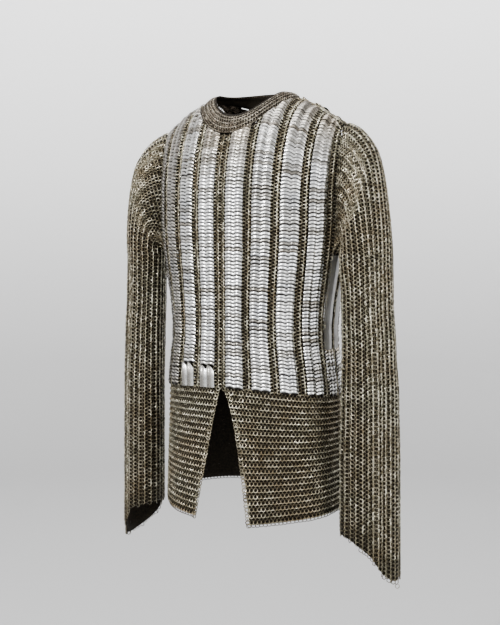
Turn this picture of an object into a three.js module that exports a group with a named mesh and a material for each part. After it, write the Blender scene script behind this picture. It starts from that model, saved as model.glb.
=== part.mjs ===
// A shirt of mail and plates in its worn pose, empty inside.
// Millimetres, +Z up. The front faces -Y and the wearer's left is +X.
// The origin lies between the shoulders, at the height of the shoulder ridge beside the neck.
import * as THREE from "three";

// Heights
const WAIST_Z = -486;
const WAIST_DIP = 15;
const CHEST_Z = -200;
const ARMPIT_Z = -268;
const HEM_SIDE_Z = -691;
const HEM_CORNER_DROP = 19;

// Half sizes of the torso at shares of the way from waist to chest: it is drawn in above the waist
const TORSO_ROWS = [
  { rise: 0, halfWidth: 159, halfFront: 113, halfBack: 113 },
  { rise: 0.33, halfWidth: 150, halfFront: 112, halfBack: 112 },
  { rise: 1, halfWidth: 176, halfFront: 115, halfBack: 118 },
];
const WAIST = TORSO_ROWS[0];
const CHEST = TORSO_ROWS[TORSO_ROWS.length - 1];
const HEM = { halfWidth: 167, halfFront: 119, halfBack: 123 };

// Shoulders
const RIDGE_Y = 4;
const RIDGE_CENTRE_Z = 16;
const RIDGE_SLOPE = 0.62;
const RIDGE_BEND_X = 75;
const RIDGE_BEND_SOFTNESS = 40;
const RIDGE_SPREAD = 0.03;
const YOKE_HALF_WIDTH = 17;
const YOKE_SEAM = 1.6;
const YOKE_END_SEAM = 1.2;

// How full the curve from chest to shoulder ridge is: 1 is a quarter ellipse, less is fuller
const FRONT_CURVE = 0.9;
const BACK_CURVE = 0.8;

// Where the stretch under the arm begins, as an angle round the waist, and how far it leans
const ARMHOLE_ANGLE = THREE.MathUtils.degToRad(72);
const ARMHOLE_SHIFT = THREE.MathUtils.degToRad(6);
const SIDE_ANGLE = Math.PI / 2;

// Collar: its outer edge lies on the torso, and its inner edge stands round the neck
const COLLAR_OUTER = { halfWidth: 88, halfDepth: 83, y: -10 };
const COLLAR_INNER = { halfWidth: 67, halfDepth: 65, y: -6 };
const COLLAR_FRONT_Z = -34;
const COLLAR_SIDE_Z = 10;
const COLLAR_BACK_Z = 14;
const COLLAR_BULGE = 3;
const COLLAR_INSET = 1;
const COLLAR_SEAM_ANGLE = THREE.MathUtils.degToRad(0.3);

// Columns of plates and the strips of mail between them, counted round the waist line
const COLUMNS_AROUND = 20;
const COLUMN_SHARE = 0.66;
const COLUMN_PITCH = 46;
const CENTRE_WIDENING = 3.5;
const COLUMNS_TO_ARMHOLE = 4;
const LOBE_HEIGHT = 2.4;
const LOBES = 2;
const SIDE_PLATE_FROM = 0.33;
const SIDE_PLATE_CROWN = 2;

// Walls and the gap that neighbours keep
const MAIL_THICKNESS = 2.6;
const PLATE_THICKNESS = 2.2;
const COLLAR_THICKNESS = 3.4;
const SEAM = 0.4;

// Sleeves: an elbow out of the armhole, then a tube that hangs beside the body
const SLEEVE_CAP_WIDTH = 78;
const SLEEVE_CAP_HALF_DEPTH = 48;
const SLEEVE_CAP_ROUNDNESS = 0.85;
const SLEEVE_INNER_X = 180;
const SLEEVE_CAP_SHARE = 0.38;
const CAP_OPENING_BEND = THREE.MathUtils.degToRad(50);
const CAP_HANGING_BEND = THREE.MathUtils.degToRad(40);
const ARMHOLE_CORNER = 0.375;
const SLEEVE_Y = -15;
const ARMPIT_LIFT = 3;
const CUFF_INNER_Z = -720;
const CUFF_TIP_DROP = 77;
const CUFF_TIP_ANGLE = THREE.MathUtils.degToRad(15);
const CUFF_POINT = 1.6;
const SLEEVE_TWIST = THREE.MathUtils.degToRad(54);

// Middle and half sizes of the hanging sleeve at named heights
const SLEEVE_ROWS = [
  { z: -268, x: 219, broad: 45, narrow: 35 },
  { z: -340, x: 221, broad: 43, narrow: 36 },
  { z: -420, x: 224, broad: 45, narrow: 36.5 },
  { z: -500, x: 226, broad: 49, narrow: 36.5 },
  { z: -600, x: 226, broad: 51.5, narrow: 36.5 },
  { z: -810, x: 226, broad: 52, narrow: 36.5 },
];

// Long folds down the sleeves: place round the tube from its outer side, width and depth
const SLEEVE_FOLDS = [
  { angle: 28, width: 16, depth: 3.5 },
  { angle: 70, width: 13, depth: 4.5 },
  { angle: 112, width: 15, depth: 4 },
  { angle: 236, width: 16, depth: 4 },
  { angle: 300, width: 18, depth: 3 },
];

// Skirt
const SLIT_TOP_HALF_ANGLE = THREE.MathUtils.degToRad(0.5);
const SLIT_HEM_HALF_ANGLE = THREE.MathUtils.degToRad(18);

// How the slit opens downwards on each side: 1 is a straight edge, less opens sooner
const SLIT_CURVES = { left: 0.5, right: 0.95 };
const SKIRT_WAVES = 7;
const SKIRT_WAVE_DEPTH = 3;

// Share of a meridian that lies below the chest line
const CHEST_SHARE = 0.56;

// Mesh steps
const COLUMN_ROWS = 11;
const SIDE_ROWS = 6;
const SIDE_COLUMN_ROWS = 3;
const SIDE_PLATE_ROWS = 4;
const COLUMN_STEPS = 4;
const STRIP_STEPS = 2;
const YOKE_STEPS = 5;
const YOKE_ROWS = 4;
const COLLAR_STEPS = 14;
const COLLAR_ROWS = 2;
const SLEEVE_STEPS = 24;
const SLEEVE_ROWS_ALONG = 17;
const SKIRT_FRONT_STEPS = 12;
const SKIRT_BACK_STEPS = 20;
const SKIRT_ROWS = 5;
const ARC_STEPS = 720;
const HALVINGS = 30;
const RISE_PASSES = 5;
const NORMAL_STEP = 1e-3;

const FINISHES = {
  mail: { color: 0x6f6857, roughness: 0.5, metalness: 0.85 },
  collar: { color: 0x6d6156, roughness: 0.5, metalness: 0.85 },
  plate: { color: 0xc9cbcc, roughness: 0.3, metalness: 0.95 },
};

const { lerp, smoothstep, clamp } = THREE.MathUtils;

// A closed wall from a surface pointAt(u, v), with u across and v along, both from 0 to 1.
// The outer side may be raised, and the first row may take its direction from a neighbour.
function wallGeometry({ pointAt, steps, rows, thickness, raise = () => 0, closed = false, firstNormal }) {
  const columns = closed ? steps : steps + 1;
  const positions = [];
  const indices = [];
  for (const side of [1, -1]) {
    for (let row = 0; row <= rows; row += 1) {
      for (let column = 0; column < columns; column += 1) {
        const u = column / steps;
        const v = row / rows;
        const given = row === 0 && firstNormal ? firstNormal(u) : null;
        const normal = given ?? normalAt(pointAt, u, v, closed);
        const lift = side > 0 ? thickness / 2 + raise(u, v) : -thickness / 2;
        const point = pointAt(u, v).addScaledVector(normal, lift);
        positions.push(point.x, point.y, point.z);
      }
    }
  }
  const layer = columns * (rows + 1);
  const at = (side, row, column) => side * layer + row * columns + (column % columns);
  const quad = (a, b, c, d) => indices.push(a, b, c, a, c, d);
  for (let row = 0; row < rows; row += 1) {
    for (let column = 0; column < steps; column += 1) {
      quad(at(0, row, column), at(0, row, column + 1), at(0, row + 1, column + 1), at(0, row + 1, column));
      quad(at(1, row, column), at(1, row + 1, column), at(1, row + 1, column + 1), at(1, row, column + 1));
    }
  }
  for (let column = 0; column < steps; column += 1) {
    quad(at(1, 0, column), at(1, 0, column + 1), at(0, 0, column + 1), at(0, 0, column));
    quad(at(0, rows, column), at(0, rows, column + 1), at(1, rows, column + 1), at(1, rows, column));
  }
  if (!closed) {
    for (let row = 0; row < rows; row += 1) {
      quad(at(0, row, 0), at(0, row + 1, 0), at(1, row + 1, 0), at(1, row, 0));
      quad(at(1, row, steps), at(1, row + 1, steps), at(0, row + 1, steps), at(0, row, steps));
    }
  }
  const geometry = new THREE.BufferGeometry();
  geometry.setAttribute("position", new THREE.Float32BufferAttribute(positions, 3));
  geometry.setIndex(indices);
  geometry.computeVertexNormals();
  return geometry;
}

// The outward direction of a surface, from small steps across and along it
function normalAt(pointAt, u, v, closed = false) {
  const left = closed ? u - NORMAL_STEP : Math.max(u - NORMAL_STEP, 0);
  const right = closed ? u + NORMAL_STEP : Math.min(u + NORMAL_STEP, 1);
  const low = Math.max(v - NORMAL_STEP, 0);
  const high = Math.min(v + NORMAL_STEP, 1);
  const across = pointAt(right, v).sub(pointAt(left, v));
  const along = pointAt(u, high).sub(pointAt(u, low));
  return across.cross(along).normalize();
}

// The same surface on the wearer's right
function mirrored(pointAt) {
  return (u, v) => {
    const point = pointAt(1 - u, v);
    point.x = -point.x;
    return point;
  };
}

// Columns lean towards the middle as they rise, and the stretch under the arm widens
function leanedAngle(angle, share) {
  const near = Math.asin(Math.min(Math.abs(Math.sin(angle)), 1));
  const inner = near / ARMHOLE_ANGLE;
  const outer = (SIDE_ANGLE - near) / (SIDE_ANGLE - ARMHOLE_ANGLE);
  const move = ARMHOLE_SHIFT * share * Math.min(inner, outer);
  return angle - Math.sign(Math.sin(2 * angle)) * move;
}

function ellipsePoint(angle, { halfWidth, halfFront, halfBack }, z) {
  const halfDepth = Math.cos(angle) > 0 ? halfFront : halfBack;
  return new THREE.Vector3(halfWidth * Math.sin(angle), -halfDepth * Math.cos(angle), z);
}

function mixedSizes(lower, upper, share) {
  return {
    halfWidth: lerp(lower.halfWidth, upper.halfWidth, share),
    halfFront: lerp(lower.halfFront, upper.halfFront, share),
    halfBack: lerp(lower.halfBack, upper.halfBack, share),
  };
}

function torsoSizes(rise) {
  const index = clamp(TORSO_ROWS.findIndex((row) => row.rise >= rise), 1, TORSO_ROWS.length - 1);
  const lower = TORSO_ROWS[index - 1];
  const upper = TORSO_ROWS[index];
  return mixedSizes(lower, upper, smoothstep(rise, lower.rise, upper.rise));
}

// The waist line sags a little at the sides
function waistZ(angle) {
  return WAIST_Z - WAIST_DIP * Math.sin(angle) ** 2;
}

// Height of the shoulder ridge, level beside the neck and sloping out to the armhole
function ridgeZ(x) {
  const beyond = Math.abs(x) - RIDGE_BEND_X;
  return RIDGE_CENTRE_Z - RIDGE_SLOPE * (beyond + Math.hypot(beyond, RIDGE_BEND_SOFTNESS)) / 2;
}

// A point of the torso: angle round the waist, and share of the way from waist to shoulder ridge
function torsoPoint(angle, share) {
  if (share <= CHEST_SHARE) {
    const rise = share / CHEST_SHARE;
    const leaned = leanedAngle(angle, smoothstep(rise, 0, 1));
    return ellipsePoint(leaned, torsoSizes(rise), lerp(waistZ(angle), CHEST_Z, rise));
  }
  const turn = (Math.PI / 2) * (share - CHEST_SHARE) / (1 - CHEST_SHARE);
  const curve = Math.cos(angle) > 0 ? FRONT_CURVE : BACK_CURVE;
  const chest = torsoPoint(angle, CHEST_SHARE);
  const x = chest.x * (1 + RIDGE_SPREAD * Math.sin(turn));
  const y = RIDGE_Y + (chest.y - RIDGE_Y) * Math.max(Math.cos(turn), 0) ** curve;
  return new THREE.Vector3(x, y, CHEST_Z + (ridgeZ(x) - CHEST_Z) * Math.sin(turn) ** curve);
}

// Height of the shoulders over a point of the plan.
// The spread of a meridian hangs on its own rise, so the rise is worked out in a few passes.
function shoulderZ(x, y) {
  const isFront = y < RIDGE_Y;
  const halfDepth = isFront ? -CHEST.halfFront : CHEST.halfBack;
  const curve = isFront ? FRONT_CURVE : BACK_CURVE;
  let rise = 1;
  for (let pass = 0; pass < RISE_PASSES; pass += 1) {
    const sine = x / (CHEST.halfWidth * (1 + RIDGE_SPREAD * rise ** (1 / curve)));
    const chestY = halfDepth * Math.sqrt(1 - sine * sine);
    const depth = clamp((y - RIDGE_Y) / (chestY - RIDGE_Y), 0, 1);
    rise = (1 - depth ** (2 / curve)) ** (curve / 2);
  }
  return CHEST_Z + (ridgeZ(x) - CHEST_Z) * rise;
}

function insideCollar(point) {
  const x = point.x / (COLLAR_OUTER.halfWidth + SEAM);
  const y = (point.y - COLLAR_OUTER.y) / (COLLAR_OUTER.halfDepth + SEAM);
  return x * x + y * y < 1;
}

// Share at which a front or back meridian meets the collar or the shoulder band
function topShare(angle) {
  let low = CHEST_SHARE;
  let high = 1;
  for (let halving = 0; halving < HALVINGS; halving += 1) {
    const middle = (low + high) / 2;
    const point = torsoPoint(angle, middle);
    const reached = insideCollar(point) || Math.abs(point.y - RIDGE_Y) < YOKE_HALF_WIDTH + YOKE_SEAM;
    low = reached ? low : middle;
    high = reached ? middle : high;
  }
  return low;
}

// Share at which a meridian reaches a height below the chest
function shareAtHeight(angle, z) {
  return CHEST_SHARE * (z - waistZ(angle)) / (CHEST_Z - waistZ(angle));
}

// Lengths along half of the waist line, from the front middle to the back middle
function measureHalfWaist() {
  const lengths = [0];
  const waist = (step) => ellipsePoint(Math.PI * step / ARC_STEPS, WAIST, 0);
  for (let step = 1; step <= ARC_STEPS; step += 1) {
    lengths.push(lengths[step - 1] + waist(step).distanceTo(waist(step - 1)));
  }
  return lengths;
}

const waistLengths = measureHalfWaist();
const halfWaist = waistLengths[ARC_STEPS];

// Angle of a place on the waist line, counted in columns from the front middle.
// Columns keep their pitch on the front and back, and share what is left under the arms.
function placeAngle(place, seam = 0) {
  const isPast = Math.abs(place) > COLUMNS_AROUND / 2;
  const count = isPast ? COLUMNS_AROUND - Math.abs(place) : Math.abs(place);
  const lastFront = COLUMNS_TO_ARMHOLE;
  const firstBack = COLUMNS_AROUND / 2 - COLUMNS_TO_ARMHOLE;
  const fromMiddle = (columns) => (columns === 0 ? 0 : CENTRE_WIDENING + columns * COLUMN_PITCH);
  let length = fromMiddle(count);
  if (count > firstBack) {
    length = halfWaist - fromMiddle(COLUMNS_AROUND / 2 - count);
  } else if (count > lastFront) {
    const share = (count - lastFront) / (firstBack - lastFront);
    length = lerp(fromMiddle(lastFront), halfWaist - fromMiddle(lastFront), share);
  }
  const isLeft = place >= 0;
  length += isLeft === isPast ? -seam : seam;
  if (length < 0) {
    return (isLeft ? 1 : -1) * length / WAIST.halfWidth;
  }
  const index = clamp(waistLengths.findIndex((total) => total >= length), 1, ARC_STEPS);
  const step = waistLengths[index] - waistLengths[index - 1];
  const angle = Math.PI * (index - 1 + (length - waistLengths[index - 1]) / step) / ARC_STEPS;
  return (isLeft ? 1 : -1) * (isPast ? 2 * Math.PI - angle : angle);
}

// A vertical band of the torso between two places on the waist line
function bandPoint(from, to, isUnderArm) {
  const first = placeAngle(from, SEAM / 2);
  const last = placeAngle(to, -SEAM / 2);
  return (u, v) => {
    const angle = lerp(first, last, u);
    const end = isUnderArm ? shareAtHeight(angle, ARMPIT_Z) : topShare(angle);
    return torsoPoint(angle, v * end);
  };
}

// Rounded lobes across a plate, with a groove between them
function lobes(u) {
  return LOBE_HEIGHT * Math.abs(Math.sin(Math.PI * LOBES * u));
}

function piece(name, finish, wall) {
  const mesh = new THREE.Mesh(wallGeometry(wall), new THREE.MeshStandardMaterial(FINISHES[finish]));
  mesh.name = name;
  return mesh;
}

// Columns count from the front middle, one to ten on each side
function columnName(number, side) {
  if (number === COLUMNS_TO_ARMHOLE + 1 || number === COLUMNS_TO_ARMHOLE + 2) {
    return `column_side_${side}_${number === COLUMNS_TO_ARMHOLE + 1 ? "front" : "back"}`;
  }
  const isBack = number > COLUMNS_TO_ARMHOLE;
  const count = isBack ? COLUMNS_AROUND / 2 + 1 - number : number;
  return `column_${isBack ? "back" : "front"}_${side}_${count}`;
}

function buildColumns() {
  const columns = [];
  for (let number = 1; number <= COLUMNS_AROUND / 2; number += 1) {
    const middle = number - 0.5;
    const isUnderArm = Math.abs(middle - COLUMNS_AROUND / 4) < 1;
    const left = bandPoint(middle - COLUMN_SHARE / 2, middle + COLUMN_SHARE / 2, isUnderArm);
    for (const side of ["left", "right"]) {
      const name = columnName(number, side);
      const pointAt = side === "left" ? left : mirrored(left);
      columns.push(...(isUnderArm ? sideColumn(name, pointAt) : [frontOrBackColumn(name, pointAt)]));
    }
  }
  return columns;
}

function frontOrBackColumn(name, pointAt) {
  return piece(name, "plate", {
    pointAt,
    steps: COLUMN_STEPS,
    rows: COLUMN_ROWS,
    thickness: PLATE_THICKNESS,
    raise: lobes,
  });
}

// Under the arm one tall smooth plate stands on a short column of small ones
function sideColumn(name, pointAt) {
  const seamShare = SEAM / (ARMPIT_Z - WAIST_Z);
  const low = (u, v) => pointAt(u, v * (SIDE_PLATE_FROM - seamShare));
  const high = (u, v) => pointAt(u, lerp(SIDE_PLATE_FROM, 1, v));
  const common = { steps: COLUMN_STEPS, thickness: PLATE_THICKNESS };
  const crown = (u) => SIDE_PLATE_CROWN * Math.sin(Math.PI * u);
  return [
    piece(name, "plate", { ...common, pointAt: low, rows: SIDE_COLUMN_ROWS, raise: lobes }),
    piece(name.replace("column_side", "side_plate"), "plate", {
      ...common,
      pointAt: high,
      rows: SIDE_PLATE_ROWS,
      raise: crown,
    }),
  ];
}

// Strips of mail fill the places between neighbouring columns
function buildStrips() {
  const strips = [];
  const half = (1 - COLUMN_SHARE) / 2;
  for (let number = 0; number <= COLUMNS_AROUND / 2; number += 1) {
    const isUnderArm = number === COLUMNS_AROUND / 4;
    const left = bandPoint(number - half, number + half, isUnderArm);
    const isMiddle = number === 0 || number === COLUMNS_AROUND / 2;
    for (const side of isMiddle ? ["centre"] : ["left", "right"]) {
      const name = isMiddle ? (number === 0 ? "front" : "back") : number;
      strips.push(piece(`strip_${side}_${name}`, "mail", {
        pointAt: side === "right" ? mirrored(left) : left,
        steps: STRIP_STEPS,
        rows: isUnderArm ? SIDE_ROWS : COLUMN_ROWS,
        thickness: MAIL_THICKNESS,
      }));
    }
  }
  return strips;
}

// The band along one shoulder ridge, from the collar to the armhole
function yokePoint(u, v) {
  const y = lerp(RIDGE_Y - YOKE_HALF_WIDTH, RIDGE_Y + YOKE_HALF_WIDTH, v);
  const beside = (y - COLLAR_OUTER.y) / (COLLAR_OUTER.halfDepth + SEAM);
  const first = (COLLAR_OUTER.halfWidth + SEAM) * Math.sqrt(1 - beside * beside);
  const edge = torsoPoint(y < RIDGE_Y ? armholeFront : armholeBack, CHEST_SHARE);
  const curve = y < RIDGE_Y ? FRONT_CURVE : BACK_CURVE;
  const depth = Math.abs((y - RIDGE_Y) / (edge.y - RIDGE_Y));
  const turn = Math.acos(Math.min(depth ** (1 / curve), 1));
  const last = edge.x * (1 + RIDGE_SPREAD * Math.sin(turn)) - YOKE_END_SEAM;
  const x = lerp(first, last, u);
  return new THREE.Vector3(x, y, shoulderZ(x, y));
}

function buildYokes() {
  return ["left", "right"].map((side) =>
    piece(`yoke_${side}`, "mail", {
      pointAt: side === "left" ? yokePoint : mirrored(yokePoint),
      steps: YOKE_STEPS,
      rows: YOKE_ROWS,
      thickness: MAIL_THICKNESS,
    }),
  );
}

// The collar rises from its outer edge on the torso to its inner edge round the neck
function collarPoint(angle, share) {
  const outerX = (COLLAR_OUTER.halfWidth - COLLAR_INSET) * Math.sin(angle);
  const outerY = COLLAR_OUTER.y - (COLLAR_OUTER.halfDepth - COLLAR_INSET) * Math.cos(angle);
  const outer = new THREE.Vector3(outerX, outerY, shoulderZ(outerX, outerY));
  const endZ = Math.cos(angle) > 0 ? COLLAR_FRONT_Z : COLLAR_BACK_Z;
  const inner = new THREE.Vector3(
    COLLAR_INNER.halfWidth * Math.sin(angle),
    COLLAR_INNER.y - COLLAR_INNER.halfDepth * Math.cos(angle),
    lerp(COLLAR_SIDE_Z, endZ, Math.cos(angle) ** 2),
  );
  const point = outer.lerp(inner, share);
  point.z += COLLAR_BULGE * Math.sin(Math.PI * share);
  return point;
}

function buildCollar() {
  const join = COLLAR_SEAM_ANGLE / 2;
  const stretches = [
    { name: "collar_front", from: -SIDE_ANGLE + join, to: SIDE_ANGLE - join },
    { name: "collar_back", from: SIDE_ANGLE + join, to: 3 * SIDE_ANGLE - join },
  ];
  return stretches.map(({ name, from, to }) =>
    piece(name, "collar", {
      pointAt: (u, v) => collarPoint(lerp(from, to, u), v),
      steps: COLLAR_STEPS,
      rows: COLLAR_ROWS,
      thickness: COLLAR_THICKNESS,
    }),
  );
}

const ARMHOLE_PLACE = COLUMNS_TO_ARMHOLE + (1 - COLUMN_SHARE) / 2;
const armholeFront = placeAngle(ARMHOLE_PLACE, SEAM);
const armholeBack = placeAngle(COLUMNS_AROUND / 2 - ARMHOLE_PLACE, -SEAM);

// Where round the armhole a turn lies: down the front edge, across under the arm, up the back
function armholeSpot(turn) {
  const low = ARMPIT_Z + ARMPIT_LIFT;
  if (turn < ARMHOLE_CORNER) {
    const share = lerp(1, shareAtHeight(armholeFront, low), turn / ARMHOLE_CORNER);
    return { angle: armholeFront, share };
  }
  if (turn > 1 - ARMHOLE_CORNER) {
    const share = lerp(1, shareAtHeight(armholeBack, low), (1 - turn) / ARMHOLE_CORNER);
    return { angle: armholeBack, share };
  }
  const across = (turn - ARMHOLE_CORNER) / (1 - 2 * ARMHOLE_CORNER);
  const angle = lerp(armholeFront, armholeBack, across);
  return { angle, share: shareAtHeight(angle, low) };
}

function armholePoint(turn) {
  const { angle, share } = armholeSpot(turn);
  return torsoPoint(angle, share);
}

// Beside the torso the sleeve starts in line with the torso's wall, and under the arm it doesn't
function armholeNormal(turn) {
  if (turn > ARMHOLE_CORNER + NORMAL_STEP && turn < 1 - ARMHOLE_CORNER - NORMAL_STEP) {
    return null;
  }
  const { angle, share } = armholeSpot(turn);
  return normalAt((u, v) => torsoPoint(angle + u, share - NORMAL_STEP + v), 0, 0);
}

// One ring of the sleeve's head, turned about the armpit from upright to level
function capPoint(turn, bend) {
  const capHeight = armholePoint(0).z - ARMPIT_Z;
  const rise = Math.max(Math.cos(bend), 0) ** SLEEVE_CAP_ROUNDNESS;
  const reach = Math.sin(bend) ** SLEEVE_CAP_ROUNDNESS;
  const round = Math.cos(2 * Math.PI * turn);
  const middleX = SLEEVE_INNER_X + SLEEVE_CAP_WIDTH * reach * (1 + round) / 2;
  const low = ARMPIT_Z + ARMPIT_LIFT * rise;
  const high = ARMPIT_Z + capHeight * rise;
  const y = lerp(RIDGE_Y, SLEEVE_Y, reach) - SLEEVE_CAP_HALF_DEPTH * Math.sin(2 * Math.PI * turn);
  return new THREE.Vector3(middleX, y, lerp(low, high, (1 + round) / 2));
}

function sleeveSizeAt(z) {
  const below = SLEEVE_ROWS.findIndex((row) => row.z <= z);
  const index = clamp(below, 1, SLEEVE_ROWS.length - 1);
  const upper = SLEEVE_ROWS[index - 1];
  const lower = SLEEVE_ROWS[index];
  const share = smoothstep(upper.z - z, 0, upper.z - lower.z);
  const between = (key) => lerp(upper[key], lower[key], share);
  return { x: between("x"), broad: between("broad"), narrow: between("narrow") };
}

function foldDepth(turn, z) {
  const grown = smoothstep(-z, -SLEEVE_ROWS[0].z, -SLEEVE_ROWS[1].z);
  return SLEEVE_FOLDS.reduce((depth, fold) => {
    const apart = (360 * turn - fold.angle) / fold.width;
    return depth + grown * fold.depth * Math.exp(-apart * apart);
  }, 0);
}

// A point of the hanging sleeve, a twisted ellipse with folds down it
function tubePoint(turn, z) {
  const angle = -2 * Math.PI * turn;
  const { x, broad, narrow } = sleeveSizeAt(z);
  const wide = Math.cos(angle - SLEEVE_TWIST) / broad;
  const deep = Math.sin(angle - SLEEVE_TWIST) / narrow;
  const radius = 1 / Math.hypot(wide, deep) - foldDepth(turn, z);
  return new THREE.Vector3(x + radius * Math.cos(angle), SLEEVE_Y + radius * Math.sin(angle), z);
}

// The cuff is cut to a point that hangs on the outer side
function cuffZ(turn) {
  const near = (1 + Math.cos(2 * Math.PI * turn + CUFF_TIP_ANGLE)) / 2;
  return CUFF_INNER_Z - CUFF_TIP_DROP * near ** CUFF_POINT;
}

function sleevePoint(turn, share) {
  if (share < SLEEVE_CAP_SHARE) {
    const bend = (Math.PI / 2) * share / SLEEVE_CAP_SHARE;
    const opened = Math.sin(Math.min(bend / CAP_OPENING_BEND, 1) * Math.PI / 2);
    const hung = smoothstep(bend, CAP_HANGING_BEND, Math.PI / 2);
    return armholePoint(turn).lerp(capPoint(turn, bend), opened).lerp(tubePoint(turn, ARMPIT_Z), hung);
  }
  const drop = (share - SLEEVE_CAP_SHARE) / (1 - SLEEVE_CAP_SHARE);
  return tubePoint(turn, lerp(ARMPIT_Z, cuffZ(turn), drop));
}

function buildSleeves() {
  return ["left", "right"].map((side) =>
    piece(`sleeve_${side}`, "mail", {
      pointAt: side === "left" ? sleevePoint : mirrored(sleevePoint),
      steps: SLEEVE_STEPS,
      rows: SLEEVE_ROWS_ALONG,
      thickness: MAIL_THICKNESS,
      closed: true,
      firstNormal: side === "left" ? armholeNormal : mirroredNormal,
    }),
  );
}

function mirroredNormal(turn) {
  const normal = armholeNormal(1 - turn);
  if (normal) {
    normal.x = -normal.x;
  }
  return normal;
}

// The hem hangs lowest at the two corners of the slit
function hemZ(angle) {
  return HEM_SIDE_Z - HEM_CORNER_DROP * Math.max(Math.cos(angle), 0) ** 2;
}

// A point of the skirt: angle round it, and share of the way up from hem to waist
function skirtPoint(angle, share) {
  const wave = SKIRT_WAVE_DEPTH * (1 - share) * Math.sin(SKIRT_WAVES * angle);
  const z = lerp(hemZ(angle), waistZ(angle) - SEAM, share);
  const point = ellipsePoint(angle, mixedSizes(HEM, WAIST, share), z);
  point.x += wave * Math.sin(angle);
  point.y -= wave * Math.cos(angle);
  return point;
}

function buildSkirt() {
  const seam = SEAM / 2 / WAIST.halfFront;
  const front = (curve) => (u, v) => {
    const slit = lerp(SLIT_TOP_HALF_ANGLE, SLIT_HEM_HALF_ANGLE, (1 - v) ** curve);
    return skirtPoint(lerp(slit, SIDE_ANGLE - seam, u), v);
  };
  const back = (u, v) => skirtPoint(lerp(SIDE_ANGLE + seam, 3 * SIDE_ANGLE - seam, u), v);
  const panels = [
    { name: "skirt_front_left", pointAt: front(SLIT_CURVES.left), steps: SKIRT_FRONT_STEPS },
    { name: "skirt_front_right", pointAt: mirrored(front(SLIT_CURVES.right)), steps: SKIRT_FRONT_STEPS },
    { name: "skirt_back", pointAt: back, steps: SKIRT_BACK_STEPS },
  ];
  return panels.map(({ name, pointAt, steps }) =>
    piece(name, "mail", { pointAt, steps, rows: SKIRT_ROWS, thickness: MAIL_THICKNESS }),
  );
}

const shirt = new THREE.Group();
for (const part of [buildCollar, buildYokes, buildColumns, buildStrips, buildSleeves, buildSkirt]) {
  shirt.add(...part());
}

export default shirt;
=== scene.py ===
# %% [markdown]
# # A shirt of mail and plates
# This lesson dresses a plain solid model of a shirt with its real surface: thousands of small iron
# rings, and upright columns of little steel plates that overlap like scales. The solid model already
# has the right size and form. Blender adds what the eye reads as mail: rings with holes between them.

# %% Load the solid model
import math
import bpy
import numpy as np
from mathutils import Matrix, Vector


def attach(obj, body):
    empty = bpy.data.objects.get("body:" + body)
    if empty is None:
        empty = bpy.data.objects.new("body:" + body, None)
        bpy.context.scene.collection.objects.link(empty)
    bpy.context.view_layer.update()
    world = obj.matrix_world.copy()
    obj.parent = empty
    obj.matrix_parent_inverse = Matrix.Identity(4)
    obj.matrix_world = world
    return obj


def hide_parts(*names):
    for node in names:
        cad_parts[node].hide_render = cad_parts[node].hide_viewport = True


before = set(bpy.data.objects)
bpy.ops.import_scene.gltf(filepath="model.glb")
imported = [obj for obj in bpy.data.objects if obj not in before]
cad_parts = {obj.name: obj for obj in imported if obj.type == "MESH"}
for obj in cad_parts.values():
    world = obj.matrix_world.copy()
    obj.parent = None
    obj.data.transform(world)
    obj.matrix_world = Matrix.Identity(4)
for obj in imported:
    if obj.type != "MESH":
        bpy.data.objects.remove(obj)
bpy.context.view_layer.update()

bpy.ops.object.select_all(action="DESELECT")
print("solid nodes:", len(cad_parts))

# %% [markdown]
# ## The surface of the shirt
# Rings and plates have to follow the body of the shirt, so the lesson needs its surface as a formula.
# The torso is a stack of ellipses up to the chest, then quarter curves that close on the shoulder
# ridge. Lengths are in millimetres here, because mail is measured in millimetres, and are turned
# into metres when a mesh is made.

# %% Sizes of the torso
MM = 0.001
QUARTER = math.pi / 2
WAIST_Z, WAIST_DIP, CHEST_Z, ARMPIT_Z = -486.0, 15.0, -200.0, -268.0
HEM_SIDE_Z, HEM_CORNER_DROP = -691.0, 19.0
TORSO = {
    "rise": [0.0, 0.33, 1.0],
    "half_width": [159.0, 150.0, 176.0],
    "half_front": [113.0, 112.0, 115.0],
    "half_back": [113.0, 112.0, 118.0],
}
RIDGE_Y, RIDGE_CENTRE_Z, RIDGE_SLOPE = 4.0, 16.0, 0.62
RIDGE_BEND_X, RIDGE_BEND_SOFTNESS, RIDGE_SPREAD = 75.0, 40.0, 0.03
FRONT_CURVE, BACK_CURVE = 0.9, 0.8
ARMHOLE_ANGLE, ARMHOLE_SHIFT = math.radians(72), math.radians(6)
CHEST_SHARE = 0.56


def smooth(value, low, high):
    """A soft step from 0 to 1 between two values."""
    share = np.clip((value - low) / (high - low), 0.0, 1.0)
    return share * share * (3 - 2 * share)


def mix(start, end, share):
    return start + (end - start) * share


def lengths_along(points):
    """How far each point of a line lies from the line's first point, measured along it."""
    steps = np.linalg.norm(np.diff(points, axis=0), axis=1)
    return np.concatenate([[0], np.cumsum(steps)])


# %% The torso as a formula
def leaned(angle, share):
    """Columns lean towards the middle as they rise, and the stretch under the arm widens."""
    near = np.arcsin(np.clip(np.abs(np.sin(angle)), 0, 1))
    inner = near / ARMHOLE_ANGLE
    outer = (QUARTER - near) / (QUARTER - ARMHOLE_ANGLE)
    return angle - np.sign(np.sin(2 * angle)) * ARMHOLE_SHIFT * share * np.minimum(inner, outer)


def torso_size(key, rise):
    """A half size of the torso, eased between the rows of the table."""
    low, middle, high = TORSO[key]
    bend = TORSO["rise"][1]
    below = mix(low, middle, smooth(rise, 0, bend))
    return np.where(rise < bend, below, mix(middle, high, smooth(rise, bend, 1)))


def waist_z(angle):
    return WAIST_Z - WAIST_DIP * np.sin(angle) ** 2


def ridge_z(x):
    beyond = np.abs(x) - RIDGE_BEND_X
    return RIDGE_CENTRE_Z - RIDGE_SLOPE * (beyond + np.hypot(beyond, RIDGE_BEND_SOFTNESS)) / 2


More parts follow.
